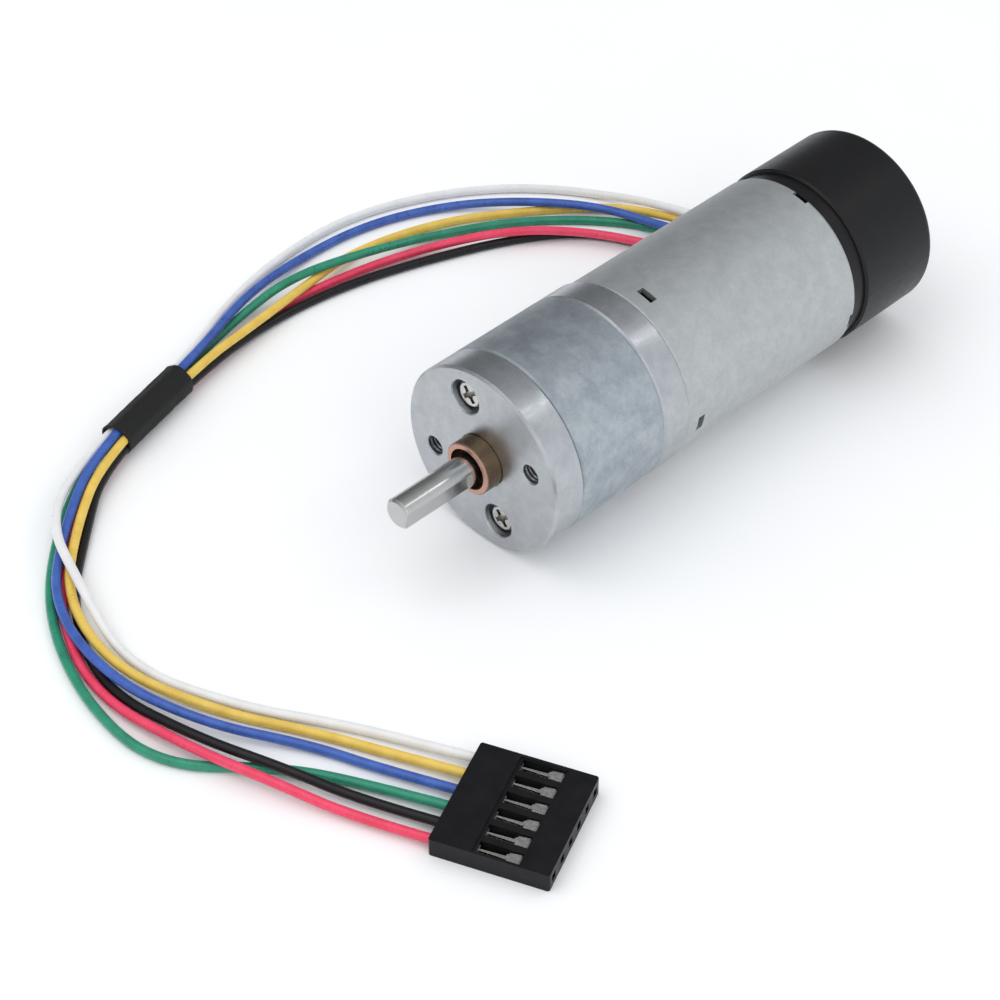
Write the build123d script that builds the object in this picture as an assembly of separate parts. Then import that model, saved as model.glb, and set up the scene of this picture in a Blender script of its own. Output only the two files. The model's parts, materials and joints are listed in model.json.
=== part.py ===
from build123d import *
import math
import os

# Geared DC motor: a 25 mm spur gearbox on a brushed motor, an encoder under a black rear cap,
# and a six-wire lead that ends in a 6-way crimp housing.
# Millimetres, +Z up. The shaft axis is Y and the output shaft points along -Y. The origin is
# the centre of the gearbox mounting face. The motor lies on its side on a flat surface.

os.makedirs("parts", exist_ok=True)

# ---------------------------------------------------------------- driving dimensions
GEARBOX_R = 12.5
CHAMBER_R = 11.5            # inside of the gearbox housing
COVER_END = 4.7             # the front cover runs from the mounting face to here
HOUSING_END = 18.6
GEARBOX_END = 23.0
PLATE_START = 21.4          # solid floor of the gearbox rear ring
CAN_R = 12.2
CAN_WALL = 0.9
CAN_END = 54.6
CAP_R = 12.3
CAP_NECK_R = 11.8
CAP_NECK_END = 56.6
CAP_END = 70.0
CAP_WALL = 1.1
SPIGOT_START = 52.9         # the cap's spigot inside the can

SHAFT_R = 2.0
SHAFT_TIP = -13.7
SHAFT_ROOT_R = 2.01         # full round behind the flat
JOURNAL_START = -0.9        # hidden in the recess of the bushing
FLAT_END = -3.4             # the D flat runs from the tip to here
FLAT_DEPTH = 0.5
FLAT_FACING = -12.0         # direction of the flat, degrees from +X towards +Z
JOURNAL_R = 2.2             # the shaft inside the bushing and the output gear
BUSHING_R = 3.5             # shoulder in front of the mounting face
BUSHING_SEAT_R = 3.25       # pressed into the cover
BUSHING_TIP = -2.4
BUSHING_END = 5.6
MOTOR_SHAFT_R = 1.0

CLOCKING = 18.5             # how far the gearbox is turned about the shaft
SCREW_ANGLES = (CLOCKING + 90, CLOCKING + 270)
MOUNT_ANGLES = (CLOCKING, CLOCKING + 180)
HOLE_CIRCLE_R = 8.5
MOUNT_HOLE_R = 1.25         # M3 tapping size
COUNTERBORE_R = 2.25
COUNTERBORE_DEPTH = 2.0
SCREW_R = 1.0
SCREW_CLEARANCE = 0.05
HEAD_R = 1.9

MODULE = 0.4
CENTRES = 6.4               # every pair of gears has 32 teeth in all
PIN_R = 0.75
RUNNING_FIT = 0.04
GEAR_ANGLE = CLOCKING + 180
FACE = 2.3                  # face width of a wheel
STAGE_PITCH = 3.1
FIRST_STAGE = 18.5          # front side of the wheel next to the motor
DRIVERS = (10, 10, 9, 9, 9)
WHEELS = (22, 22, 23, 23, 23)
SHIFTS = (0.30, 0.30, 0.38, 0.38, 0.38)

WIRE_D = 1.2
SLEEVE_R = 2.3
SLEEVE_BORE = 1.94
SLEEVE_TOP = (-47.0, -8.4, -10.2)
SLEEVE_LOW = (-43.3, -21.7, -10.2)

HOUSING_CORNER = (31.76, -39.38, -12.5)
HOUSING_HEADING = 23.4
HOUSING_LENGTH = 14.0
HOUSING_HEIGHT = 2.54
PIN_PITCH = 2.54
WAYS = 6
WIRE_INSET = 3.0            # the wires end this far inside the housing

# Routes of the six wires, from the header on the encoder board to the crimp terminals.
ROUTES = {
    "wire_white": [
        (-9.25, 59.5, -0.5), (-17.4, 59.6, -4.3), (-26.0, 62.3, -8.4), (-35.6, 63.2, -11.9),
        (-47.2, 55.4, -11.9), (-55.4, 44.2, -11.9), (-59.6, 32.0, -11.9), (-59.3, 19.5, -11.9),
        (-55.9, 7.6, -11.2), (-49.25, -4.36, -9.57), (-43.15, -26.29, -9.57),
        (-37.2, -37.2, -9.3), (-24.6, -41.9, -9.3), (-12.4, -45.0, -11.9), (1.6, -39.6, -11.9),
        (10.0, -34.3, -11.9), (17.96, -30.12, -11.8), (28.97, -25.36, -11.23)],
    "wire_yellow": [
        (-8.67, 59.5, -1.75), (-16.9, 59.5, -5.6), (-26.2, 62.3, -9.9), (-35.4, 60.4, -11.9),
        (-43.0, 51.2, -11.9), (-49.8, 40.6, -11.9), (-53.6, 29.2, -11.2), (-52.6, 18.4, -10.4),
        (-50.6, 8.0, -10.3), (-47.15, -3.78, -9.57), (-41.05, -25.71, -9.57),
        (-34.4, -35.1, -10.65), (-25.5, -43.7, -10.65), (-12.3, -46.9, -10.65),
        (0.5, -41.9, -11.9), (9.8, -36.6, -11.9), (18.96, -32.45, -11.8),
        (29.97, -27.69, -11.23)],
    "wire_blue": [
        (-8.08, 59.5, -3.0), (-16.4, 59.4, -6.9), (-26.4, 60.6, -10.7), (-35.0, 58.0, -10.6),
        (-43.4, 51.6, -10.6), (-51.6, 44.6, -11.9), (-56.4, 33.4, -11.9), (-57.2, 21.2, -11.9),
        (-54.6, 9.0, -10.5), (-48.2, -4.07, -8.94), (-42.1, -26.0, -8.94),
        (-35.6, -35.9, -10.65), (-26.2, -45.3, -10.65), (-12.3, -48.3, -10.65),
        (1.0, -45.2, -10.65), (11.4, -38.0, -11.9), (19.97, -34.79, -11.8),
        (30.98, -30.03, -11.23)],
    "wire_green": [
        (-7.5, 59.5, -4.26), (-15.8, 59.2, -8.1), (-24.6, 59.4, -11.9), (-34.0, 57.2, -11.9),
        (-42.2, 48.8, -11.9), (-48.2, 37.8, -11.9), (-51.8, 26.6, -11.9), (-54.0, 17.0, -11.9),
        (-53.0, 7.4, -11.9), (-49.25, -4.36, -10.83), (-43.15, -26.29, -10.83),
        (-36.7, -36.4, -11.9), (-26.3, -46.1, -11.9), (-12.2, -51.8, -11.9),
        (1.6, -52.4, -11.9), (11.6, -42.4, -11.9), (20.98, -37.12, -11.8),
        (31.99, -32.36, -11.23)],
    "wire_red": [
        (-6.92, 59.5, -5.5), (-15.2, 59.0, -9.4), (-23.6, 57.8, -11.9), (-33.2, 53.4, -11.9),
        (-40.6, 45.6, -11.9), (-46.2, 35.2, -11.9), (-49.8, 24.0, -11.9), (-51.2, 11.2, -11.9),
        (-48.2, -4.07, -11.46), (-42.1, -26.0, -11.46), (-35.2, -35.4, -11.9),
        (-25.9, -44.7, -11.9), (-12.2, -50.5, -11.9), (3.0, -48.6, -10.6),
        (13.2, -45.4, -10.6), (23.0, -41.78, -11.8), (34.01, -37.02, -11.23)],
    "wire_black": [
        (-6.33, 59.5, -6.76), (-14.0, 58.9, -10.8), (-22.0, 56.2, -11.9), (-31.4, 51.6, -11.9),
        (-38.8, 44.0, -11.9), (-44.6, 33.6, -11.9), (-48.2, 22.2, -11.9), (-49.6, 9.6, -11.9),
        (-47.15, -3.78, -10.83), (-41.05, -25.71, -10.83), (-33.7, -34.4, -11.9),
        (-25.3, -43.2, -11.9), (-12.3, -49.2, -11.9), (2.2, -47.1, -10.6),
        (12.6, -43.2, -10.6), (21.99, -39.45, -11.8), (33.0, -34.69, -11.23)],
}


# ---------------------------------------------------------------- helpers
def rod(radius, start, end, x=0.0, z=0.0):
    """A cylinder along Y from one station to another."""
    return Pos(x, (start + end) / 2, z) * Rot(90, 0, 0) * Cylinder(radius, end - start)


def ring(outer, inner, start, end, x=0.0, z=0.0):
    """A tube along Y with a through bore."""
    return rod(outer, start, end, x, z) - rod(inner, start - 1, end + 1, x, z)


def on_circle(radius, angle):
    """X and Z of a point at an angle from +X towards +Z."""
    return radius * math.cos(math.radians(angle)), radius * math.sin(math.radians(angle))


def turned(shape, angle):
    """A shape drawn on the +X side, turned about the shaft axis from +X towards +Z."""
    return Rot(0, -angle, 0) * shape


def block(x_range, y_range, z_range):
    """A box given by its limits on each axis."""
    spans = [high - low for low, high in (x_range, y_range, z_range)]
    middle = [(low + high) / 2 for low, high in (x_range, y_range, z_range)]
    return Pos(*middle) * Box(*spans)


def soften(shape, size, stations, outer):
    """Chamfer the round outer edges that lie at the given stations."""
    edges = [e for e in shape.edges().filter_by(GeomType.CIRCLE)
             if abs(e.radius - outer) < 0.01
             and any(abs(e.arc_center.Y - station) < 0.01 for station in stations)]
    return chamfer(edges, size)


def save(shape, name):
    export_step(shape, "parts/" + name + ".step")


def save_group(shapes, name):
    save(Compound(children=list(shapes)), name)


# ---------------------------------------------------------------- gears
def involute(angle):
    return math.tan(angle) - angle


def gear_outline(teeth, shift, phase):
    """Corner points (x, z) of an involute gear with one tooth centred at the phase angle."""
    pressure = math.radians(20)
    backlash = 0.035
    pitch_r = MODULE * teeth / 2
    base_r = pitch_r * math.cos(pressure)
    tip_r = pitch_r + MODULE * (0.92 + shift)
    root_r = pitch_r - MODULE * (1.28 - shift)
    half_at_pitch = (math.pi / 2 + 2 * shift * math.tan(pressure)) / teeth - backlash / pitch_r
    half_at_base = half_at_pitch + involute(pressure)
    start_r = max(base_r, root_r)
    flank = []
    for step in range(5):
        radius = start_r + (tip_r - start_r) * step / 4
        half = half_at_base - involute(math.acos(min(1.0, base_r / radius)))
        flank.append((radius, half))
    if root_r < base_r:
        flank.insert(0, (root_r, half_at_base))
    points = []
    for tooth in range(teeth):
        centre = math.radians(phase) + 2 * math.pi * tooth / teeth
        side = [(radius, centre - half) for radius, half in flank]
        side += [(radius, centre + half) for radius, half in reversed(flank)]
        points += [(radius * math.cos(a), radius * math.sin(a)) for radius, a in side]
    return points


def gear(teeth, shift, phase, start, end, x, z):
    """A gear between two stations, about an axis parallel to Y."""
    outline = [(x + px, z + pz) for px, pz in gear_outline(teeth, shift, phase)]
    sketch = Plane.XZ * make_face(Polyline(*outline, close=True))
    return Pos(0, end, 0) * extrude(sketch, amount=end - start)


PIN_A = on_circle(CENTRES, GEAR_ANGLE - 30)
PIN_B = on_circle(CENTRES, GEAR_ANGLE + 30)
AXIS = (0.0, 0.0)
DRIVER_AXES = (AXIS, PIN_A, PIN_B, PIN_A, PIN_B)
WHEEL_AXES = (PIN_A, PIN_B, PIN_A, PIN_B, AXIS)


def stage_front(stage):
    return FIRST_STAGE - STAGE_PITCH * stage


def heading(start, end):
    return math.degrees(math.atan2(end[1] - start[1], end[0] - start[0]))


def driver_phase(stage):
    """The driver has a tooth on the line of centres at rest."""
    return heading(DRIVER_AXES[stage], WHEEL_AXES[stage])


def wheel_phase(stage):
    """The wheel has a gap on the line of centres at rest."""
    return heading(WHEEL_AXES[stage], DRIVER_AXES[stage]) + 180 / WHEELS[stage]


def driver(stage, start, end):
    x, z = DRIVER_AXES[stage]
    return gear(DRIVERS[stage], SHIFTS[stage], driver_phase(stage), start, end, x, z)


def wheel(stage):
    x, z = WHEEL_AXES[stage]
    start = stage_front(stage)
    body = gear(WHEELS[stage], -SHIFTS[stage], wheel_phase(stage), start, start + FACE, x, z)
    relief = ring(3.5, 2.7, start + FACE - 0.4, start + FACE + 1, x, z)
    return body - relief


def compound_gear(number):
    """A wheel and, in front of it, the driver of the next stage, bored for the fixed pin."""
    x, z = WHEEL_AXES[number]
    front = stage_front(number + 1) - 0.1
    pinion = driver(number + 1, front, stage_front(number) + 0.2)
    return wheel(number) + pinion - rod(PIN_R + RUNNING_FIT, front - 1, GEARBOX_END, x, z)


# ---------------------------------------------------------------- gearbox
def countersink(radius, x, z):
    """Cone that breaks a hole's edge by 0.15 mm at the mounting face."""
    return Pos(x, 0, z) * Rot(90, 0, 0) * Cone(radius - 0.15, radius + 0.45, 0.6)


def front_cover():
    body = soften(rod(GEARBOX_R, 0, COVER_END), 0.3, (0, COVER_END), GEARBOX_R)
    body -= rod(BUSHING_SEAT_R, -1, COVER_END + 1) + rod(BUSHING_R + 0.1, -1, 0.2)
    for angle in SCREW_ANGLES:
        x, z = on_circle(HOLE_CIRCLE_R, angle)
        body -= rod(COUNTERBORE_R, -1, COUNTERBORE_DEPTH, x, z) + countersink(COUNTERBORE_R, x, z)
        body -= rod(SCREW_R + SCREW_CLEARANCE, 0, COVER_END + 1, x, z)
    for angle in MOUNT_ANGLES:
        x, z = on_circle(HOLE_CIRCLE_R, angle)
        body -= rod(MOUNT_HOLE_R, -1, 3.4, x, z) + countersink(MOUNT_HOLE_R, x, z)
    for x, z in (PIN_A, PIN_B):
        body -= rod(PIN_R, 3.2, COVER_END + 1, x, z)
    return body


def output_bushing():
    bore = JOURNAL_R + RUNNING_FIT
    body = ring(BUSHING_R, bore, BUSHING_TIP, 0) + ring(BUSHING_SEAT_R, bore, -0.1, BUSHING_END)
    body -= rod(2.75, BUSHING_TIP - 1, BUSHING_TIP + 1.6)
    return soften(body, 0.2, (BUSHING_TIP,), BUSHING_R)


def screw_post(start, end):
    """A boss for the long screw, joined to the gearbox wall, drawn on the +X side."""
    boss = rod(2.0, start, end, HOLE_CIRCLE_R, 0)
    web = block((HOLE_CIRCLE_R, CHAMBER_R + 0.3), (start, end), (-1.7, 1.7))
    return boss + web - rod(SCREW_R + SCREW_CLEARANCE, start - 1, end + 1, HOLE_CIRCLE_R, 0)


def gearbox_housing():
    body = soften(rod(GEARBOX_R, COVER_END, HOUSING_END), 0.25, (COVER_END, HOUSING_END), GEARBOX_R)
    body -= rod(CHAMBER_R, COVER_END - 1, HOUSING_END + 1)
    for angle in SCREW_ANGLES:
        body += turned(screw_post(COVER_END, HOUSING_END), angle)
    return body


def gearbox_rear_ring():
    body = soften(rod(GEARBOX_R, HOUSING_END, GEARBOX_END), 0.25, (HOUSING_END, GEARBOX_END), GEARBOX_R)
    body -= rod(CHAMBER_R, HOUSING_END - 1, PLATE_START)
    for angle in SCREW_ANGLES:
        body += turned(screw_post(HOUSING_END, PLATE_START), angle)
    body -= rod(3.1, PLATE_START - 1, GEARBOX_END + 1)
    for x, z in (PIN_A, PIN_B):
        body -= rod(PIN_R, PLATE_START - 1, GEARBOX_END + 1, x, z)
    for angle in SCREW_ANGLES:
        x, z = on_circle(HOLE_CIRCLE_R, angle)
        body -= rod(SCREW_R, PLATE_START - 1, GEARBOX_END + 1, x, z)
    for angle in MOUNT_ANGLES:
        x, z = on_circle(HOLE_CIRCLE_R, angle)
        body -= rod(1.45, PLATE_START - 1, GEARBOX_END + 1, x, z)
        body -= Pos(x, PLATE_START + 0.5, z) * Rot(90, 0, 0) * Cone(1.3, 2.3, 1.0)
    return body


def phillips_screw(angle):
    """Pan head with a cross recess, and a shank down to the rear ring."""
    x, z = on_circle(HOLE_CIRCLE_R, angle)
    head_front = COUNTERBORE_DEPTH - 1.3
    head = soften(rod(HEAD_R, head_front, COUNTERBORE_DEPTH), 0.35, (head_front,), HEAD_R)
    shank = rod(SCREW_R, COUNTERBORE_DEPTH - 0.1, GEARBOX_END - 0.2)
    recess = block((-1.2, 1.2), (head_front - 1, head_front + 1.0), (-0.3, 0.3))
    recess += block((-0.3, 0.3), (head_front - 1, head_front + 1.0), (-1.2, 1.2))
    recess += rod(0.6, head_front - 1, head_front + 1.1)
    return Pos(x, 0, z) * turned(head + shank - recess, angle + 20)


def motor_screw(angle):
    """Countersunk screw that holds the rear ring to the motor can."""
    x, z = on_circle(HOLE_CIRCLE_R, angle)
    head = Pos(0, PLATE_START + 0.5, 0) * Rot(90, 0, 0) * Cone(1.3, 2.25, 1.0)
    shank = rod(1.25, PLATE_START + 0.9, 26.0)
    slot = block((-1.4, 1.4), (PLATE_START - 0.1, PLATE_START + 0.5), (-0.25, 0.25))
    return Pos(x, 0, z) * (head + shank - slot)


def gear_pin(axis):
    x, z = axis
    return rod(PIN_R, 3.2, GEARBOX_END, x, z)


def pin_spacers():
    """Spacer tubes and washers that keep the compound gears in their planes."""
    (ax, az), (bx, bz) = PIN_A, PIN_B
    bore = PIN_R + 0.02
    return [
        ring(1.3, bore, COVER_END, stage_front(3) - 0.15, ax, az),
        ring(1.3, bore, stage_front(2) + FACE + 0.1, stage_front(1) - 0.15, ax, az),
        ring(1.3, bore, stage_front(0) + FACE + 0.1, PLATE_START, ax, az),
        ring(1.3, bore, COVER_END, stage_front(4) - 0.15, bx, bz),
        ring(1.3, bore, stage_front(3) + FACE + 0.1, stage_front(2) - 0.15, bx, bz),
        ring(1.3, bore, stage_front(1) + FACE + 0.1, PLATE_START, bx, bz),
    ]


def output_shaft():
    body = soften(rod(SHAFT_R, SHAFT_TIP, FLAT_END), 0.3, (SHAFT_TIP,), SHAFT_R)
    body += rod(SHAFT_ROOT_R, FLAT_END, JOURNAL_START) + rod(JOURNAL_R, JOURNAL_START, 8.9)
    flat = block((SHAFT_R - FLAT_DEPTH, 5), (SHAFT_TIP - 1, FLAT_END), (-5, 5))
    seat = block((SHAFT_R - FLAT_DEPTH, 5), (stage_front(4) - 0.05, 10), (-5, 5))
    groove = ring(5, 1.6, 8.45, 8.8)
    return body - turned(flat + seat, FLAT_FACING) - groove


def output_gear():
    bore = rod(JOURNAL_R, 0, 10) - turned(block((SHAFT_R - FLAT_DEPTH, 5), (0, 10), (-5, 5)), FLAT_FACING)
    return wheel(4) - bore


def thrust_washer():
    return ring(3.3, JOURNAL_R, BUSHING_END + 0.08, stage_front(4) - 0.05)


def retaining_clip():
    """An E clip in the groove behind the output gear."""
    body = ring(2.7, 1.6, 8.45, 8.8)
    return body - block((0, 5), (8, 9.5), (-1.0, 1.0))


# ---------------------------------------------------------------- motor
def around_can(shape, first):
    """Four copies of a shape at right angles about the shaft axis."""
    return [turned(shape, first + 90 * quarter) for quarter in range(4)]


def motor_can():
    body = rod(CAN_R, GEARBOX_END, CAN_END)
    for station, radius in ((CAN_END, 0.6), (GEARBOX_END, 0.4)):
        edges = body.edges().filter_by(GeomType.CIRCLE)
        body = fillet([e for e in edges if abs(e.arc_center.Y - station) < 0.01], radius)
    body -= rod(CAN_R - CAN_WALL, GEARBOX_END + 1.0, CAN_END + 1)
    body -= rod(3.0, GEARBOX_END - 1, GEARBOX_END + 2)
    for angle in MOUNT_ANGLES:
        x, z = on_circle(HOLE_CIRCLE_R, angle)
        body -= rod(1.25, GEARBOX_END - 1, GEARBOX_END + 2, x, z)
    crimp = block((CAN_R - CAN_WALL - 0.4, CAN_R + 1), (25.1, 26.2), (-1.2, 1.2))
    notch = block((CAN_R - CAN_WALL - 1, CAN_R + 1), (CAN_END - 0.9, CAN_END + 1), (-1.1, 1.1))
    for cut in around_can(crimp, 79) + around_can(notch, 79):
        body -= cut
    return body


def motor_front_bushing():
    return ring(3.0, MOTOR_SHAFT_R + RUNNING_FIT, 22.2, 26.4)


def magnet(angle):
    """A curved magnet held against the inside of the can."""
    body = ring(11.25, 9.5, 27.0, 47.0)
    wedge = Polyline((0, 0), (14, -16), (24, 0), (14, 16), close=True)
    keep = Pos(0, 48, 0) * extrude(Plane.XZ * make_face(wedge), amount=22)
    return turned(body & keep, angle)


def magnet_spring(angle):
    """A bent spring strip that pushes the two magnets apart."""
    leaf = block((9.9, 10.3), (29.0, 45.0), (-3.6, 3.6))
    for low, high in ((-3.6, -3.2), (3.2, 3.6)):
        leaf += block((9.9, 10.6), (29.0, 45.0), (low, high))
    return turned(leaf, angle)


def motor_shaft():
    return soften(rod(MOTOR_SHAFT_R, 18.3, 61.6), 0.2, (18.3, 61.6), MOTOR_SHAFT_R)


def motor_pinion():
    return driver(0, 18.45, 21.2) - rod(MOTOR_SHAFT_R, 17, 23)


POLES = 5
CORE_START = 29.0
CORE_END = 44.0


def armature_core():
    body = ring(3.0, MOTOR_SHAFT_R, CORE_START, CORE_END)
    for pole in range(POLES):
        neck = block((2.5, 8.0), (CORE_START, CORE_END), (-1.0, 1.0))
        body += turned(neck, 360 / POLES * pole)
    rim = ring(9.1, 7.6, CORE_START, CORE_END)
    for pole in range(POLES):
        slot = block((5, 12), (CORE_START - 1, CORE_END + 1), (-0.7, 0.7))
        rim -= turned(slot, 360 / POLES * (pole + 0.5))
    return body + rim


def winding(angle):
    """The coil on one pole, with its end turns standing past the core."""
    outside = block((3.4, 7.3), (CORE_START - 1.6, CORE_END + 1.6), (-1.9, 1.9))
    pole = block((2.0, 9.0), (CORE_START - 0.02, CORE_END + 0.02), (-1.02, 1.02))
    return turned(outside - pole, angle)


def commutator():
    body = ring(2.6, MOTOR_SHAFT_R, 46.4, 49.6) + ring(3.3, MOTOR_SHAFT_R, 46.4, 46.9)
    for segment in range(POLES):
        slit = block((2.2, 4), (46, 50), (-0.12, 0.12))
        body -= turned(slit, 360 / POLES * (segment + 0.5))
    return body


def end_bell():
    body = rod(CAN_R - CAN_WALL, 51.0, 52.9) + rod(4.0, 50.2, 54.6)
    body -= rod(2.5, 49, 56)
    for side in (-1, 1):
        body -= turned(block((6.9, 7.7), (50, 54), (-1.6, 1.6)), 90 * side)
    return body


def motor_rear_bushing():
    return ring(2.5, MOTOR_SHAFT_R + RUNNING_FIT, 50.4, 54.8)


def brush(side):
    """A carbon block that rides on the commutator."""
    body = block((2.65, 4.6), (47.2, 49.3), (-0.9, 0.9))
    body -= ring(2.65, 0.5, 46, 50)
    return turned(body, 90 * side)


def brush_terminal(side):
    """Spring arm, tab and solder lug in one strip of phosphor bronze."""
    arm = block((4.6, 4.9), (47.0, 49.5), (-1.2, 1.2))
    foot = block((4.6, 7.5), (49.2, 49.5), (-1.2, 1.2))
    tab = block((7.1, 7.5), (49.2, 60.2), (-1.2, 1.2))
    return turned(arm + foot + tab, 90 * side)


# ---------------------------------------------------------------- encoder and cap
BOARD_START = 60.2
BOARD_END = 61.2
HEADER_ANGLE = 205.0
HEADER_R = 8.57             # outer side of the wire header
PILLAR_ANGLES = (0, 155)
PILLAR_CIRCLE_R = 8.6


def encoder_hub():
    return ring(2.2, MOTOR_SHAFT_R, 56.0, 59.6)


def encoder_magnet():
    return soften(ring(4.4, 2.2, 56.8, 58.6), 0.2, (56.8, 58.6), 4.4)


def encoder_board():
    body = rod(10.6, BOARD_START, BOARD_END) - rod(1.8, BOARD_START - 1, BOARD_END + 1)
    for angle in PILLAR_ANGLES:
        x, z = on_circle(PILLAR_CIRCLE_R, angle)
        body -= rod(0.8, BOARD_START - 1, BOARD_END + 1, x, z)
    return body


def hall_sensor(angle):
    body = block((4.8, 7.0), (58.7, BOARD_START), (-2.0, 2.0))
    return turned(body, angle)


def board_pillar(angle):
    """Pillar with a screw head that holds the board to the end bell."""
    x, z = on_circle(PILLAR_CIRCLE_R, angle)
    return rod(1.4, 52.9, BOARD_START, x, z) + rod(0.8, 60.0, 61.4, x, z) + rod(1.4, BOARD_END, 62.0, x, z)


def wire_header():
    """Moulded header on the board; the wires start at its outer side."""
    return turned(block((5.7, HEADER_R), (58.7, BOARD_START), (-4.2, 4.2)), HEADER_ANGLE)


def header_pins():
    pins = []
    for way in range(WAYS):
        offset = (way - (WAYS - 1) / 2) * 1.38
        pins.append(turned(rod(0.3, BOARD_END, 62.4, 7.0, offset), HEADER_ANGLE))
    return pins


def end_cap():
    body = rod(CAP_R, CAP_NECK_END, CAP_END)
    edges = body.edges().filter_by(GeomType.CIRCLE)
    body = fillet([e for e in edges if abs(e.arc_center.Y - CAP_END) < 0.01], 0.9)
    body = soften(body, 0.3, (CAP_NECK_END,), CAP_R)
    body += rod(CAP_NECK_R, CAN_END, CAP_NECK_END)
    body += rod(CAN_R - CAN_WALL, SPIGOT_START, CAN_END)
    body -= rod(CAP_R - CAP_WALL - 0.3, SPIGOT_START - 1, CAP_END - 1.3)
    slot = turned(block((8, 14), (58.4, 60.6), (-5.0, 5.0)), HEADER_ANGLE)
    return body - slot


# ---------------------------------------------------------------- lead
def wire(name):
    """A round tube along straight runs joined by the largest tangent arcs that fit."""
    points = [Vector(*point) for point in ROUTES[name]]
    runs = [end - start for start, end in zip(points, points[1:])]
    radii = []
    for before, after in zip(runs, runs[1:]):
        half_turn = math.radians(before.get_angle(after)) / 2
        radii.append(0.45 * min(before.length, after.length) / math.tan(half_turn))
    path = FilletPolyline(*points, radius=radii)
    section = Plane(origin=points[0], z_dir=runs[0]) * Circle(WIRE_D / 2)
    tube = sweep(section, path=path)
    expected = math.pi * WIRE_D ** 2 / 4 * path.length
    print(name, "length %.1f" % path.length, "volume ratio %.3f" % (tube.volume / expected),
          "radii", [round(radius, 1) for radius in radii])
    return tube


def heat_shrink():
    top, low = Vector(*SLEEVE_TOP), Vector(*SLEEVE_LOW)
    plane = Plane(origin=top, z_dir=low - top)
    length = (low - top).length
    return plane * Pos(0, 0, length / 2) * (Cylinder(SLEEVE_R, length) - Cylinder(SLEEVE_BORE, length + 2))


def on_housing(shape):
    """Place a shape drawn with its length on +X and its ways on +Y, from the housing's corner."""
    return Pos(*HOUSING_CORNER) * Rot(0, 0, HOUSING_HEADING) * shape


def way_centre(way):
    return PIN_PITCH * (way + 0.5)


def connector_housing():
    width = PIN_PITCH * WAYS
    middle = HOUSING_HEIGHT / 2
    body = block((0, HOUSING_LENGTH), (0, width), (0, HOUSING_HEIGHT))
    body = chamfer(body.edges().filter_by(Axis.Z), 0.2)
    body -= block((4.9, 10.6), (0.35, width - 0.35), (HOUSING_HEIGHT - 0.25, 3))
    for way in range(WAYS):
        centre = way_centre(way)
        body -= Pos(0, centre, middle) * Rot(0, 90, 0) * Cylinder(0.72, 2 * WIRE_INSET + 0.4)
        body -= block((WIRE_INSET, 13.2), (centre - 0.85, centre + 0.85), (0.45, 2.0))
        body -= block((5.3, 10.3), (centre - 0.85, centre + 0.85), (1.5, 3))
        body -= block((13, 15), (centre - 0.5, centre + 0.5), (middle - 0.5, middle + 0.5))
    return on_housing(body)


def connector_terminal(way):
    """Crimp barrel, spring beam and contact box of one female terminal."""
    centre = way_centre(way)
    barrel = block((WIRE_INSET + 0.03, 5.4), (centre - 0.6, centre + 0.6), (0.45, 1.9))
    floor = block((5.2, 9.0), (centre - 0.5, centre + 0.5), (0.45, 0.75))
    outline = Polyline((5.2, -0.1), (8.9, -0.24), (8.9, 0.24), (5.2, 0.1), close=True)
    beam = Pos(0, centre, 1.55) * extrude(Plane.XY * make_face(outline), amount=0.3)
    box = block((8.7, 13.0), (centre - 0.75, centre + 0.75), (0.45, 1.95))
    box -= block((9.0, 14.0), (centre - 0.4, centre + 0.4), (0.87, 1.67))
    outline = Polyline((8.5, -0.2), (9.0, -0.6), (10.1, -0.72), (10.1, 0.72), (9.0, 0.6), (8.5, 0.2), close=True)
    flap = Pos(0, centre, 1.8) * extrude(Plane.XY * make_face(outline), amount=0.3)
    return on_housing(barrel + floor + beam + box + flap)


# ---------------------------------------------------------------- build everything
save(front_cover(), "front_cover")
save(output_bushing(), "output_bushing")
save(gearbox_housing(), "gearbox_housing")
save(gearbox_rear_ring(), "gearbox_rear_ring")
save_group([phillips_screw(angle) for angle in SCREW_ANGLES], "gearbox_screws")
save_group([motor_screw(angle) for angle in MOUNT_ANGLES], "motor_screws")
save(gear_pin(PIN_A), "gear_pin_a")
save(gear_pin(PIN_B), "gear_pin_b")
save_group(pin_spacers(), "pin_spacers")
for number in range(4):
    save(compound_gear(number), "compound_gear_%d" % (number + 1))
save(output_shaft(), "output_shaft")
save(output_gear(), "output_gear")
save(thrust_washer(), "thrust_washer")
save(retaining_clip(), "retaining_clip")

save(motor_can(), "motor_can")
save(motor_front_bushing(), "motor_front_bushing")
save(magnet(CLOCKING), "magnet_right")
save(magnet(CLOCKING + 180), "magnet_left")
save_group([magnet_spring(angle) for angle in SCREW_ANGLES], "magnet_springs")
save(motor_shaft(), "motor_shaft")
save(motor_pinion(), "motor_pinion")
save(armature_core(), "armature_core")
save_group([winding(360 / POLES * pole) for pole in range(POLES)], "windings")
save(commutator(), "commutator")
save(end_bell(), "end_bell")
save(motor_rear_bushing(), "motor_rear_bushing")
save_group([brush(1), brush(-1)], "brushes")
save(brush_terminal(1), "brush_terminal_upper")
save(brush_terminal(-1), "brush_terminal_lower")

save(encoder_hub(), "encoder_hub")
save(encoder_magnet(), "encoder_magnet")
save(encoder_board(), "encoder_board")
save_group([hall_sensor(30), hall_sensor(120)], "hall_sensors")
save_group([board_pillar(angle) for angle in PILLAR_ANGLES], "board_pillars")
save(wire_header(), "wire_header")
save_group(header_pins(), "header_pins")
save(end_cap(), "end_cap")

for name in ROUTES:
    save(wire(name), name)
save(heat_shrink(), "heat_shrink_sleeve")
save(connector_housing(), "connector_housing")
save_group([connector_terminal(way) for way in range(WAYS)], "connector_terminals")
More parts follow.
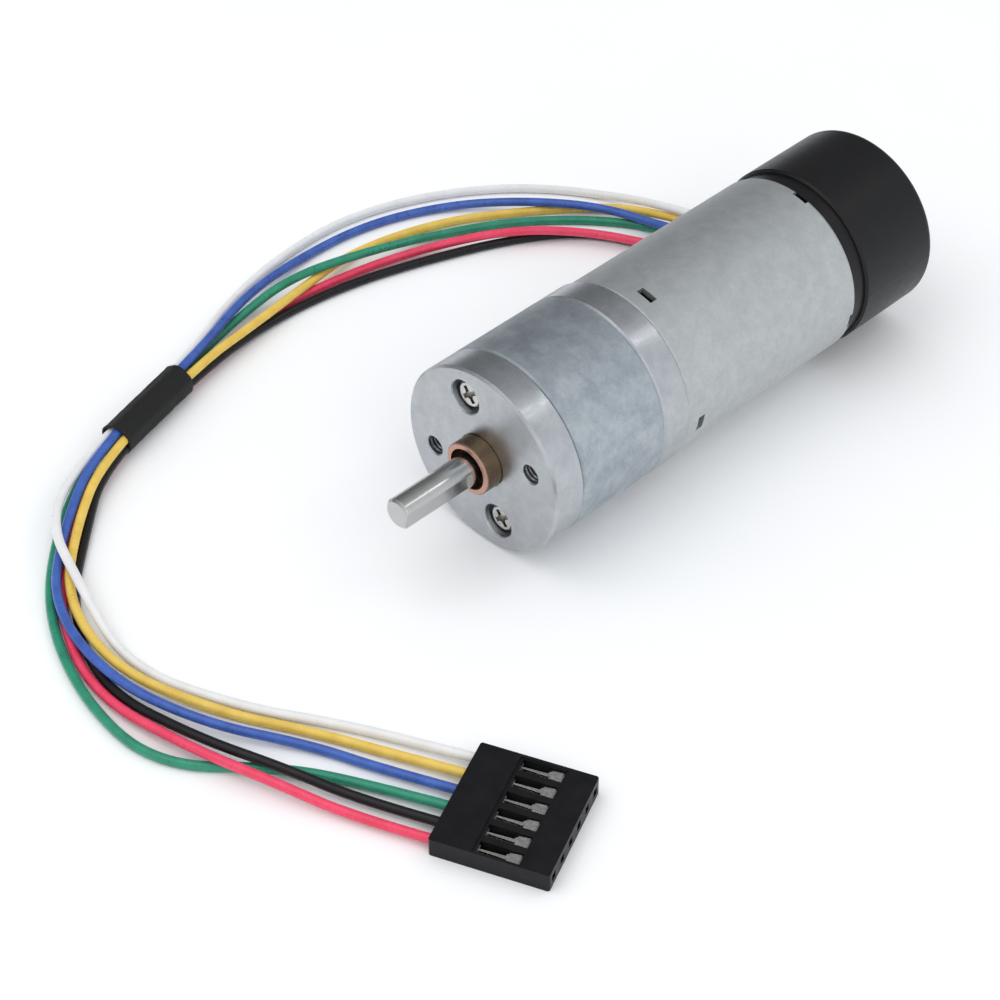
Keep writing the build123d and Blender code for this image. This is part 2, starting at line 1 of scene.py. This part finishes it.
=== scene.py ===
import json
import math

import bmesh
import bpy
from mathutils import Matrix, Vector, noise


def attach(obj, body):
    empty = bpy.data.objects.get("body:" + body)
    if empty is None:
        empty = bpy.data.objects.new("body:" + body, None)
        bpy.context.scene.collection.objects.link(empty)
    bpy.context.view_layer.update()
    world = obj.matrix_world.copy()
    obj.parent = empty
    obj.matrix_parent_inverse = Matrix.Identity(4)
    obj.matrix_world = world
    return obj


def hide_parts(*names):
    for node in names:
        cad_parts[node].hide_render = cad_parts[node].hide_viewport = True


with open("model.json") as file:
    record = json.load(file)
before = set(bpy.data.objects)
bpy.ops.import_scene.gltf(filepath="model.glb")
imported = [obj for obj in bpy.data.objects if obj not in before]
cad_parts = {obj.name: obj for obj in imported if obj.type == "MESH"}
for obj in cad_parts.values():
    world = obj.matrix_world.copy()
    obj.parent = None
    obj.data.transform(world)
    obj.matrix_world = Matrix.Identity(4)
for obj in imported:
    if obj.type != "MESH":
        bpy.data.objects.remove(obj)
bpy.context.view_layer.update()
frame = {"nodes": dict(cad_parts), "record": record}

NODES = frame["nodes"]
STATIC = "gearmotor"
MM = 0.001
UP = Vector((0, 0, 1))

# ---------------------------------------------------------------- camera
lens = bpy.data.cameras.new("camera")
lens.sensor_width = 36
lens.lens = 96.74
lens.clip_start = 0.01
lens.clip_end = 10
camera = bpy.data.objects.new("camera", lens)
bpy.context.scene.collection.objects.link(camera)
camera.location = (0.17163, -0.16745, 0.20974)
camera.rotation_euler = (math.radians(47.97), 0, math.radians(45.18))
bpy.context.scene.camera = camera
bpy.context.scene.view_settings.view_transform = "Standard"

# ---------------------------------------------------------------- the six wires of the lead
# Control points of each spline in metres, from the wire's exit at the cap to the connector.
WIRE_D = 1.2 * MM
ROUTES = {
    "white": [
        (-0.00925, 0.0595, -0.0005), (-0.0174, 0.0596, -0.0043), (-0.026, 0.0623, -0.0084),
        (-0.0356, 0.0632, -0.0119), (-0.0472, 0.0554, -0.0119), (-0.0554, 0.0442, -0.0119),
        (-0.0596, 0.032, -0.0119), (-0.0593, 0.0195, -0.0119), (-0.0559, 0.0076, -0.0112),
        (-0.04925, -0.00436, -0.00957), (-0.04315, -0.02629, -0.00957), (-0.0372, -0.0372, -0.0093),
        (-0.0246, -0.0419, -0.0093), (-0.0124, -0.045, -0.0119), (0.0016, -0.0396, -0.0119),
        (0.01, -0.0343, -0.0119), (0.01796, -0.03012, -0.0118), (0.02897, -0.02536, -0.01123)],
    "yellow": [
        (-0.00867, 0.0595, -0.00175), (-0.0169, 0.0595, -0.0056), (-0.0262, 0.0623, -0.0099),
        (-0.0354, 0.0604, -0.0119), (-0.043, 0.0512, -0.0119), (-0.0498, 0.0406, -0.0119),
        (-0.0532, 0.0274, -0.0119), (-0.05035, 0.01505, -0.01045), (-0.0485, 0.0047, -0.01),
        (-0.04715, -0.00378, -0.00957), (-0.04105, -0.02571, -0.00957),
        (-0.0344, -0.0351, -0.01065),
        (-0.0255, -0.0437, -0.01065), (-0.0123, -0.0469, -0.01065), (0.0005, -0.0419, -0.0119),
        (0.0098, -0.0366, -0.0119), (0.01896, -0.03245, -0.0118), (0.02997, -0.02769, -0.01123)],
    "blue": [
        (-0.00808, 0.0595, -0.003), (-0.0164, 0.0594, -0.0069), (-0.0264, 0.0606, -0.0107),
        (-0.035, 0.058, -0.0106), (-0.0434, 0.0516, -0.0106), (-0.0516, 0.0446, -0.0119),
        (-0.0564, 0.0334, -0.0119), (-0.0572, 0.0212, -0.0119), (-0.0546, 0.009, -0.0105),
        (-0.0482, -0.00407, -0.00894), (-0.0421, -0.026, -0.00894), (-0.0356, -0.0359, -0.01065),
        (-0.0262, -0.0453, -0.01065), (-0.0123, -0.0483, -0.01065), (0.001, -0.0452, -0.01065),
        (0.0114, -0.038, -0.0119), (0.01997, -0.03479, -0.0118), (0.03098, -0.03003, -0.01123)],
    "green": [
        (-0.0075, 0.0595, -0.00426), (-0.0158, 0.0592, -0.0081), (-0.0267, 0.0615, -0.0119),
        (-0.034, 0.0572, -0.0119), (-0.0422, 0.0488, -0.0119), (-0.0482, 0.0378, -0.0119),
        (-0.0504, 0.0252, -0.0099), (-0.0524, 0.0154, -0.0096), (-0.053, 0.0074, -0.0116),
        (-0.04925, -0.00436, -0.01083), (-0.04315, -0.02629, -0.01083), (-0.0367, -0.0364, -0.0119),
        (-0.0263, -0.0461, -0.0119), (-0.0122, -0.0518, -0.0119), (0.0016, -0.0524, -0.0119),
        (0.0116, -0.0424, -0.0119), (0.02098, -0.03712, -0.0118), (0.03199, -0.03236, -0.01123)],
    "red": [
        (-0.00692, 0.0595, -0.0055), (-0.0152, 0.059, -0.0094), (-0.0229, 0.0571, -0.0106),
        (-0.0323, 0.0525, -0.0106), (-0.0398, 0.0448, -0.0102), (-0.0462, 0.0352, -0.0115),
        (-0.0498, 0.024, -0.0119), (-0.0512, 0.0112, -0.0119), (-0.0482, -0.00407, -0.01146),
        (-0.0421, -0.026, -0.01146), (-0.0352, -0.0354, -0.0119), (-0.0259, -0.0447, -0.0119),
        (-0.0122, -0.0505, -0.0119), (0.003, -0.0486, -0.0106), (0.0132, -0.0454, -0.0106),
        (0.023, -0.04178, -0.0118), (0.03401, -0.03702, -0.01123)],
    "black": [
        (-0.00633, 0.0595, -0.00676), (-0.014, 0.0589, -0.0108), (-0.024, 0.0582, -0.0119),
        (-0.0336, 0.0538, -0.0119), (-0.0398, 0.045, -0.0119), (-0.0446, 0.0336, -0.0119),
        (-0.0482, 0.0222, -0.0119), (-0.0496, 0.0096, -0.0119), (-0.04715, -0.00378, -0.01083),
        (-0.04105, -0.02571, -0.01083), (-0.0337, -0.0344, -0.0119), (-0.0253, -0.0432, -0.0119),
        (-0.0123, -0.0492, -0.0119), (0.0022, -0.0471, -0.0106), (0.0126, -0.0432, -0.0106),
        (0.02199, -0.03945, -0.0118), (0.033, -0.03469, -0.01123)],
}


def link(name, data):
    piece = bpy.data.objects.new(name, data)
    bpy.context.scene.collection.objects.link(piece)
    return piece


def wire_curve(colour):
    """A soft round wire whose spline's control points are the route's own points."""
    curve = bpy.data.curves.new("lead_" + colour, "CURVE")
    curve.dimensions = "3D"
    curve.bevel_depth = WIRE_D / 2
    curve.bevel_resolution = 5
    curve.resolution_u = 10
    curve.use_fill_caps = True
    spline = curve.splines.new("NURBS")
    spline.points.add(len(ROUTES[colour]) - 1)
    for point, place in zip(spline.points, ROUTES[colour]):
        point.co = (*place, 1)
    spline.order_u = 3
    spline.use_endpoint_u = True
    return link("lead_" + colour, curve)


wires = {colour: wire_curve(colour) for colour in ROUTES}


# ---------------------------------------------------------------- heat-shrink sleeve
SLEEVE_TOP = Vector((-47.0, -8.4, -10.2)) * MM
SLEEVE_LOW = Vector((-43.3, -21.7, -10.2)) * MM
SLEEVE_RINGS = 56
SLEEVE_SIDES = 96
SLEEVE_LENGTH = 14  # mm, rounded: it only sets the spacing of wrinkles and the width of the lips
SLEEVE_R = 2.16
SLEEVE_MAX_R = 2.29
SLEEVE_WALL = 0.27
LOBE_DEPTH = 0.07
LIP_HEIGHT = 0.04
LIP_WIDTH = 0.5
RAGGED_END = 0.08


def sleeve_radius(angle, along):
    """Outer radius in mm: it hugs the ring of six wires, with small wrinkles and puckered ends."""
    lobes = LOBE_DEPTH * math.cos(6 * (angle - math.radians(30)))
    place = Vector((3 * math.cos(angle), 3 * math.sin(angle), SLEEVE_LENGTH * along))
    wrinkle = 0.05 * noise.noise(place * 0.45) + 0.025 * noise.noise(place * 1.3)
    from_end = SLEEVE_LENGTH * min(along, 1 - along)
    lip = LIP_HEIGHT * math.exp(-(from_end / LIP_WIDTH) ** 2)
    return min(SLEEVE_R + lobes + wrinkle + lip, SLEEVE_MAX_R)


def sleeve_mesh():
    """A tube with an outer and an inner wall, joined at both ends, which are slightly ragged."""
    mesh = bpy.data.meshes.new("sleeve")
    axis = (SLEEVE_LOW - SLEEVE_TOP).normalized()
    side = axis.cross(UP).normalized()
    built = bmesh.new()
    walls = []
    for wall in (0.0, SLEEVE_WALL):
        rings = []
        for ring in range(SLEEVE_RINGS + 1):
            along = ring / SLEEVE_RINGS
            centre = SLEEVE_TOP.lerp(SLEEVE_LOW, along)
            verts = []
            for step in range(SLEEVE_SIDES):
                angle = 2 * math.pi * step / SLEEVE_SIDES
                spot = Vector((2 * math.cos(angle), 2 * math.sin(angle), 7 + ring))
                ragged = RAGGED_END * noise.noise(spot)
                shift = axis * (ragged * MM if ring in (0, SLEEVE_RINGS) else 0)
                radius = (sleeve_radius(angle, along) - wall) * MM
                out = side * math.cos(angle) + UP * math.sin(angle)
                verts.append(built.verts.new(centre + shift + out * radius))
            rings.append(verts)
        walls.append(rings)
    outer, inner = walls

    def skin(first, second):
        for step in range(SLEEVE_SIDES):
            after = (step + 1) % SLEEVE_SIDES
            built.faces.new((first[step], first[after], second[after], second[step]))

    for ring in range(SLEEVE_RINGS):
        skin(outer[ring], outer[ring + 1])
        skin(inner[ring + 1], inner[ring])
    skin(inner[0], outer[0])
    skin(outer[-1], inner[-1])
    bmesh.ops.recalc_face_normals(built, faces=built.faces)
    for face in built.faces:
        face.smooth = True
    built.to_mesh(mesh)
    built.free()
    return mesh


sleeve = link("shrunk_sleeve", sleeve_mesh())


# ---------------------------------------------------------------- threads in the two mounting holes
CLOCKING = math.radians(18.5)
HOLE_CIRCLE_R = 8.5
HOLE_R = 1.25
THREAD_PITCH = 0.5
THREAD_DEPTH = 0.15
THREAD_SIDES = 48
THREAD_TURNS = 5
THREAD_START = 0.45
# (radial offset from the hole's wall, offset along the axis): it roots just inside the wall
THREAD_PROFILE = ((0.02, -0.25), (-THREAD_DEPTH, -0.04), (-THREAD_DEPTH, 0.04), (0.02, 0.25))


def thread_mesh(angle):
    """A ridge that winds down inside a tapped hole."""
    mesh = bpy.data.meshes.new("thread")
    built = bmesh.new()
    x0 = HOLE_CIRCLE_R * math.cos(angle)
    z0 = HOLE_CIRCLE_R * math.sin(angle)
    rows = []
    for step in range(THREAD_TURNS * THREAD_SIDES + 1):
        turn = 2 * math.pi * step / THREAD_SIDES
        y = THREAD_START + THREAD_PITCH * step / THREAD_SIDES
        row = []
        for rise, back in THREAD_PROFILE:
            radius = HOLE_R + rise
            place = Vector((x0 + radius * math.cos(turn), y + back, z0 + radius * math.sin(turn)))
            row.append(built.verts.new(place * MM))
        rows.append(row)
    for first, second in zip(rows, rows[1:]):
        for corner in range(4):
            after = (corner + 1) % 4
            built.faces.new((first[corner], first[after], second[after], second[corner]))
    built.faces.new(rows[0])
    built.faces.new(reversed(rows[-1]))
    bmesh.ops.recalc_face_normals(built, faces=built.faces)
    built.to_mesh(mesh)
    built.free()
    return mesh


threads = [link("thread_right", thread_mesh(CLOCKING)),
           link("thread_left", thread_mesh(CLOCKING + math.pi))]


# ---------------------------------------------------------------- materials
MIX_A, MIX_B, MIX_RESULT = 6, 7, 2  # the colour sockets of a Mix node, which share their names


class Finish:
    """One procedural material, patterned in mm in the object's own frame."""

    def __init__(self, name, metallic=0.0, specular=0.5):
        self.material = bpy.data.materials.new(name)
        self.material.use_nodes = True
        self.tree = self.material.node_tree
        self.shader = self.tree.nodes["Principled BSDF"]
        self.shader.inputs["Metallic"].default_value = metallic
        self.shader.inputs["Specular IOR Level"].default_value = specular
        place = self.node("ShaderNodeTexCoord").outputs["Object"]
        scaled = self.node("ShaderNodeVectorMath", operation="SCALE")
        scaled.inputs["Scale"].default_value = 1000
        self.tree.links.new(place, scaled.inputs[0])
        self.place = scaled.outputs[0]

    def node(self, kind, **settings):
        made = self.tree.nodes.new(kind)
        for key, value in settings.items():
            setattr(made, key, value)
        return made

    def join(self, source, target):
        self.tree.links.new(source, target)

    def stretched(self, scale):
        mapping = self.node("ShaderNodeMapping")
        mapping.inputs["Scale"].default_value = scale
        self.join(self.place, mapping.inputs["Vector"])
        return mapping.outputs["Vector"]

    def turned(self):
        """Coordinates that are the same all the way round the shaft axis, for lathe marks."""
        parts = self.node("ShaderNodeSeparateXYZ")
        self.join(self.place, parts.inputs[0])
        flat = self.node("ShaderNodeCombineXYZ")
        self.join(parts.outputs["X"], flat.inputs["X"])
        self.join(parts.outputs["Z"], flat.inputs["Z"])
        length = self.node("ShaderNodeVectorMath", operation="LENGTH")
        self.join(flat.outputs[0], length.inputs[0])
        ring = self.node("ShaderNodeCombineXYZ")
        self.join(length.outputs["Value"], ring.inputs["X"])
        self.join(parts.outputs["Y"], ring.inputs["Y"])
        return ring.outputs[0]

    def grain(self, per_mm, detail=4.0, rough=0.55, where=None):
        made = self.node("ShaderNodeTexNoise")
        made.inputs["Scale"].default_value = per_mm
        made.inputs["Detail"].default_value = detail
        made.inputs["Roughness"].default_value = rough
        self.join(where or self.place, made.inputs["Vector"])
        return made.outputs["Fac"]

    def spread(self, value, low, high, from_low=0.3, from_high=0.7):
        made = self.node("ShaderNodeMapRange")
        limits = {"From Min": from_low, "From Max": from_high, "To Min": low, "To Max": high}
        for key, number in limits.items():
            made.inputs[key].default_value = number
        self.join(value, made.inputs["Value"])
        return made.outputs[0]

    def tint(self, value, first, second, low=0.3, high=0.7):
        ramp = self.node("ShaderNodeValToRGB")
        ramp.color_ramp.elements[0].position = low
        ramp.color_ramp.elements[1].position = high
        ramp.color_ramp.elements[0].color = (*first, 1)
        ramp.color_ramp.elements[1].color = (*second, 1)
        self.join(value, ramp.inputs["Fac"])
        return ramp.outputs["Color"]

    def mixed(self, value, first, second, blend="MIX"):
        mix = self.node("ShaderNodeMix", data_type="RGBA", blend_type=blend)
        if isinstance(value, float):
            mix.inputs[0].default_value = value
        else:
            self.join(value, mix.inputs[0])
        for source, socket in ((first, MIX_A), (second, MIX_B)):
            if isinstance(source, tuple):
                mix.inputs[socket].default_value = (*source, 1)
            else:
                self.join(source, mix.inputs[socket])
        return mix.outputs[MIX_RESULT]

    def colour(self, value):
        self.join(value, self.shader.inputs["Base Color"])

    def roughness(self, value):
        self.join(value, self.shader.inputs["Roughness"])

    def relief(self, value, depth_mm, strength=1.0, edge_mm=0.0):
        bump = self.node("ShaderNodeBump")
        bump.inputs["Strength"].default_value = strength
        bump.inputs["Distance"].default_value = depth_mm * MM
        self.join(value, bump.inputs["Height"])
        if edge_mm:
            edge = self.node("ShaderNodeBevel", samples=4)
            edge.inputs["Radius"].default_value = edge_mm * MM
            self.join(edge.outputs[0], bump.inputs["Normal"])
        self.join(bump.outputs[0], self.shader.inputs["Normal"])


def plated(name, light, dark, rough=(0.34, 0.5), mottle=0.4, fleck=0.3, depth=0.004,
           edge=0.06):
    """Cast or plated metal: cloudy patches, fine crystal grain and a few pale scratches."""
    made = Finish(name, metallic=1.0)
    clouds = made.grain(mottle, 9, 0.68)
    crystals = made.node("ShaderNodeTexVoronoi")
    crystals.inputs["Scale"].default_value = 1.6
    made.join(made.place, crystals.inputs["Vector"])
    body = made.tint(clouds, dark, light, 0.38, 0.64)
    pale = tuple(min(1.0, part * 1.3) for part in light)
    body = made.mixed(made.spread(made.grain(5, 4, 0.7), 0, fleck, 0.5, 0.75), body, pale)
    scratches = made.grain(1.1, 8, 0.8, made.stretched((2.6, 0.6, 2.6)))
    body = made.mixed(made.spread(scratches, 0, 1.6 * fleck, 0.6, 0.72), body, pale)
    borders = made.spread(crystals.outputs["Distance"], 0.0, 0.2, 0.1, 0.8)
    made.colour(made.mixed(borders, body, dark))
    made.roughness(made.spread(made.grain(2.2, 4), *rough))
    made.relief(made.grain(5.5, 5, 0.6), depth, 0.7, edge)
    return made.material


def machined(name, light, dark, rough=(0.2, 0.34), lines=9.0, depth=0.003, edge=0.04):
    """Turned metal with fine lathe rings and a little staining."""
    made = Finish(name, metallic=1.0)
    rings = made.grain(lines, 3, 0.6, made.turned())
    stain = made.grain(0.8, 4)
    made.colour(made.mixed(made.spread(stain, 0, 0.6), made.tint(rings, dark, light), dark))
    made.roughness(made.spread(rings, *rough))
    made.relief(rings, depth, 0.6, edge)
    return made.material


def moulded(name, colour, paler, rough=(0.4, 0.55), grain=6.0, depth=0.01, specular=0.5,
            edge=0.05):
    """Moulded plastic with a fine spark-eroded grain."""
    made = Finish(name, specular=specular)
    cloud = made.grain(0.5, 4)
    made.colour(made.tint(cloud, colour, paler))
    made.roughness(made.spread(made.grain(1.2, 5), *rough))
    made.relief(made.grain(grain, 4, 0.6), depth, 0.5, edge)
    return made.material


def insulated(name, colour, deeper):
    """Soft wire insulation: glossy, faintly uneven along its length, with light handling marks."""
    made = Finish(name, specular=0.5 if max(colour) > 0.05 else 0.3)
    body = made.tint(made.grain(0.45, 3), deeper, colour)
    marks = made.spread(made.grain(2.4, 5, 0.7), 0, 0.12, 0.62, 0.8)
    made.colour(made.mixed(marks, body, tuple(part * 0.72 for part in colour)))
    made.roughness(made.spread(made.grain(1.1, 4), 0.24, 0.4))
    made.relief(made.grain(2.6, 3, 0.5), 0.012, 0.5)
    return made.material


def bronze():
    """Oil-filled sintered bronze: speckled, brown on the side, and worn pink on the front rim."""
    made = Finish("bronze", metallic=1.0)
    speckle = made.grain(9, 5, 0.7)
    brown = made.tint(speckle, (0.08, 0.055, 0.035), (0.30, 0.215, 0.135))
    pink = made.tint(speckle, (0.44, 0.24, 0.18), (0.68, 0.42, 0.33))
    parts = made.node("ShaderNodeSeparateXYZ")
    made.join(made.place, parts.inputs[0])
    made.colour(made.mixed(made.spread(parts.outputs["Y"], 1, 0, -2.36, -2.22), brown, pink))
    made.roughness(made.spread(speckle, 0.26, 0.46))
    made.relief(speckle, 0.008, 0.7, 0.05)
    return made.material


def shrink_tube():
    """Heat-shrunk sleeve: matte black, with a sandy surface."""
    made = Finish("shrink_tube", specular=0.25)
    sand = made.grain(5, 6, 0.75)
    made.colour(made.tint(sand, (0.004, 0.004, 0.004), (0.022, 0.022, 0.022)))
    made.roughness(made.spread(sand, 0.5, 0.75))
    made.relief(sand, 0.06, 0.9)
    return made.material


def laminated():
    """Stacked core plates, seen as fine lines across the shaft axis."""
    made = Finish("laminated", metallic=1.0)
    bands = made.node("ShaderNodeTexWave", wave_type="BANDS", bands_direction="Y")
    bands.inputs["Scale"].default_value = 0.62
    bands.inputs["Distortion"].default_value = 0.3
    made.join(made.place, bands.inputs["Vector"])
    made.colour(made.tint(bands.outputs["Fac"], (0.1, 0.1, 0.11), (0.36, 0.37, 0.39)))
    made.roughness(made.spread(made.grain(3), 0.35, 0.6))
    made.relief(bands.outputs["Fac"], 0.02, 0.6)
    return made.material


def wound():
    """Enamelled copper turns."""
    made = Finish("wound", metallic=1.0)
    bands = made.node("ShaderNodeTexWave", wave_type="BANDS", bands_direction="DIAGONAL")
    bands.inputs["Scale"].default_value = 1.3
    bands.inputs["Distortion"].default_value = 1.2
    made.join(made.place, bands.inputs["Vector"])
    made.colour(made.tint(bands.outputs["Fac"], (0.2, 0.07, 0.02), (0.72, 0.3, 0.12)))
    made.roughness(made.spread(made.grain(3), 0.2, 0.4))
    made.relief(bands.outputs["Fac"], 0.05, 0.8)
    return made.material


def circuit_board():
    """Green solder mask over faint copper tracks."""
    made = Finish("circuit_board")
    tracks = made.node("ShaderNodeTexBrick")
    tracks.inputs["Scale"].default_value = 0.4
    tracks.inputs["Color1"].default_value = (0.012, 0.12, 0.05, 1)
    tracks.inputs["Color2"].default_value = (0.016, 0.15, 0.065, 1)
    tracks.inputs["Mortar"].default_value = (0.03, 0.24, 0.09, 1)
    made.join(made.stretched((1, 0, 1)), tracks.inputs["Vector"])
    made.colour(tracks.outputs["Color"])
    made.roughness(made.spread(made.grain(4), 0.2, 0.4))
    made.relief(made.grain(6), 0.01, 0.4)
    return made.material


WIRE_COLOURS = {
    "white": ((0.80, 0.80, 0.79), (0.74, 0.74, 0.73)),
    "yellow": ((0.83, 0.58, 0.11), (0.72, 0.47, 0.07)),
    "blue": ((0.05, 0.13, 0.48), (0.03, 0.085, 0.36)),
    "green": ((0.022, 0.29, 0.17), (0.014, 0.21, 0.12)),
    "red": ((0.86, 0.06, 0.14), (0.74, 0.038, 0.095)),
    "black": ((0.007, 0.007, 0.008), (0.012, 0.012, 0.013)),
}

FINISHES = {
    "cast_cover": plated("cast_cover", (0.52, 0.54, 0.56), (0.43, 0.45, 0.475),
                         rough=(0.27, 0.38), mottle=0.45, fleck=0.22, depth=0.0014),
    "gearbox_steel": plated("gearbox_steel", (0.49, 0.535, 0.56), (0.35, 0.39, 0.425),
                            rough=(0.5, 0.62), mottle=0.33, fleck=0.25),
    "plated_can": plated("plated_can", (0.56, 0.58, 0.58), (0.49, 0.515, 0.52),
                         rough=(0.56, 0.68), mottle=0.5, fleck=0.1, depth=0.003),
    "sintered_bronze": bronze(),
    "shaft_steel": machined("shaft_steel", (0.58, 0.58, 0.57), (0.49, 0.49, 0.48),
                            rough=(0.16, 0.24), lines=6, depth=0.0015),
    "screw_steel": machined("screw_steel", (0.74, 0.73, 0.70), (0.48, 0.47, 0.45),
                            rough=(0.14, 0.28), lines=5),
    "gear_steel": machined("gear_steel", (0.46, 0.45, 0.43), (0.3, 0.29, 0.27),
                           rough=(0.25, 0.4), lines=3),
    "brass_pinion": machined("brass_pinion", (0.80, 0.62, 0.27), (0.6, 0.43, 0.16),
                             rough=(0.2, 0.36), lines=4),
    "magnet_ferrite": moulded("magnet_ferrite", (0.045, 0.045, 0.05), (0.075, 0.075, 0.08),
                              rough=(0.5, 0.7)),
    "core_steel": laminated(),
    "copper": wound(),
    "carbon": moulded("carbon", (0.03, 0.03, 0.03), (0.06, 0.06, 0.06), rough=(0.4, 0.6)),
    "black_cap": moulded("black_cap", (0.003, 0.003, 0.0035), (0.0045, 0.0045, 0.005),
                         rough=(0.33, 0.42), grain=5, specular=0.3, edge=0.12),
    "bell_plastic": moulded("bell_plastic", (0.04, 0.04, 0.04), (0.07, 0.07, 0.07)),
    "encoder_magnet": moulded("encoder_magnet", (0.025, 0.025, 0.028), (0.05, 0.05, 0.05)),
    "board_green": circuit_board(),
    "header_white": moulded("header_white", (0.74, 0.72, 0.66), (0.82, 0.8, 0.74)),
    "heat_shrink": shrink_tube(),
    "connector_black": moulded("connector_black", (0.004, 0.004, 0.005), (0.008, 0.008, 0.009),
                               rough=(0.34, 0.48), grain=7, depth=0.008, specular=0.22, edge=0.08),
    "tin_plate": machined("tin_plate", (0.74, 0.73, 0.69), (0.46, 0.455, 0.43),
                          rough=(0.2, 0.34), lines=2.5),
}
for colour, (pale, deep) in WIRE_COLOURS.items():
    FINISHES["wire_" + colour] = insulated("wire_" + colour, pale, deep)


def finish_piece(piece, slot):
    piece.data.materials.clear()
    piece.data.materials.append(FINISHES[slot])


for row in frame["record"]["subparts"]:
    finish_piece(NODES[row["node"]], row["material_slot"])

finish_piece(sleeve, "heat_shrink")
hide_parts("heat_shrink_sleeve")
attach(sleeve, STATIC)
# Painted shade: the thread ridges take a much darker copy of the cast metal than the cover has, so
# the tapped holes look dark inside
tapped = plated("thread_painted_shade", (0.24, 0.24, 0.25), (0.10, 0.10, 0.11), (0.25, 0.4))
for thread in threads:
    finish_piece(thread, "cast_cover")
    thread.data.materials[0] = tapped
    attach(thread, STATIC)
for colour, wire in wires.items():
    finish_piece(wire, "wire_" + colour)
    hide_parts("wire_" + colour)
    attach(wire, STATIC)


# ---------------------------------------------------------------- floor, lights and surroundings
FLOOR_Z = -12.51 * MM
FLOOR_REACH = 4.0


def make_floor():
    mesh = bpy.data.meshes.new("floor")
    corners = [(-1, -1), (1, -1), (1, 1), (-1, 1)]
    mesh.from_pydata([(x * FLOOR_REACH, y * FLOOR_REACH, FLOOR_Z) for x, y in corners],
                     [], [(0, 1, 2, 3)])
    made = Finish("floor_paper", specular=0.2)
    made.colour(made.tint(made.grain(0.02, 3), (0.93, 0.93, 0.93), (0.95, 0.95, 0.95)))
    made.shader.inputs["Roughness"].default_value = 0.8
    mesh.materials.append(made.material)
    floor = link("floor", mesh)


def make_light(name, place, size, power, target=(0, 0.03, 0)):
    data = bpy.data.lights.new(name, "AREA")
    data.shape = "RECTANGLE"
    data.size, data.size_y = size
    data.energy = power
    lamp = link(name, data)
    lamp.location = place
    lamp.rotation_euler = (Vector(target) - Vector(place)).to_track_quat("-Z", "Y").to_euler()


make_floor()
make_light("key", (-0.10, -0.16, 0.46), (0.40, 0.40), power=0.55)
make_light("fill", (0.34, -0.10, 0.24), (0.25, 0.25), power=0.2)
make_light("streak", (0.155, 0.262, 0.36), (0.05, 0.05), power=0.05, target=(0, 0.01, 0))

SKY = (0.95, 0.97, 1.0, 1)
SKY_STRENGTH = 0.92
MIRRORED_STRENGTH = (0.2, 1.15)  # what shiny surfaces reflect, from the left to the right
MIRRORED_REACH = 0.9
TO_THE_RIGHT = (0.95, -0.3, -0.1)


def make_world():
    """An even studio. What shiny surfaces reflect is brighter on the right, dimmer on the left."""
    world = bpy.data.worlds.new("studio")
    bpy.context.scene.world = world
    world.use_nodes = True
    tree = world.node_tree
    even = tree.nodes["Background"]
    even.inputs["Color"].default_value = SKY
    even.inputs["Strength"].default_value = SKY_STRENGTH
    place = tree.nodes.new("ShaderNodeTexCoord")
    side = tree.nodes.new("ShaderNodeVectorMath")
    side.operation = "DOT_PRODUCT"
    side.inputs[1].default_value = TO_THE_RIGHT
    tree.links.new(place.outputs["Generated"], side.inputs[0])
    ramp = tree.nodes.new("ShaderNodeMapRange")
    limits = {"From Min": -MIRRORED_REACH, "From Max": MIRRORED_REACH,
              "To Min": MIRRORED_STRENGTH[0], "To Max": MIRRORED_STRENGTH[1]}
    for key, number in limits.items():
        ramp.inputs[key].default_value = number
    tree.links.new(side.outputs["Value"], ramp.inputs["Value"])
    mirrored = tree.nodes.new("ShaderNodeBackground")
    mirrored.inputs["Color"].default_value = SKY
    tree.links.new(ramp.outputs[0], mirrored.inputs["Strength"])
    ray = tree.nodes.new("ShaderNodeLightPath")
    mix = tree.nodes.new("ShaderNodeMixShader")
    tree.links.new(ray.outputs["Is Glossy Ray"], mix.inputs[0])
    tree.links.new(even.outputs[0], mix.inputs[1])
    tree.links.new(mirrored.outputs[0], mix.inputs[2])
    tree.links.new(mix.outputs[0], tree.nodes["World Output"].inputs["Surface"])


make_world()
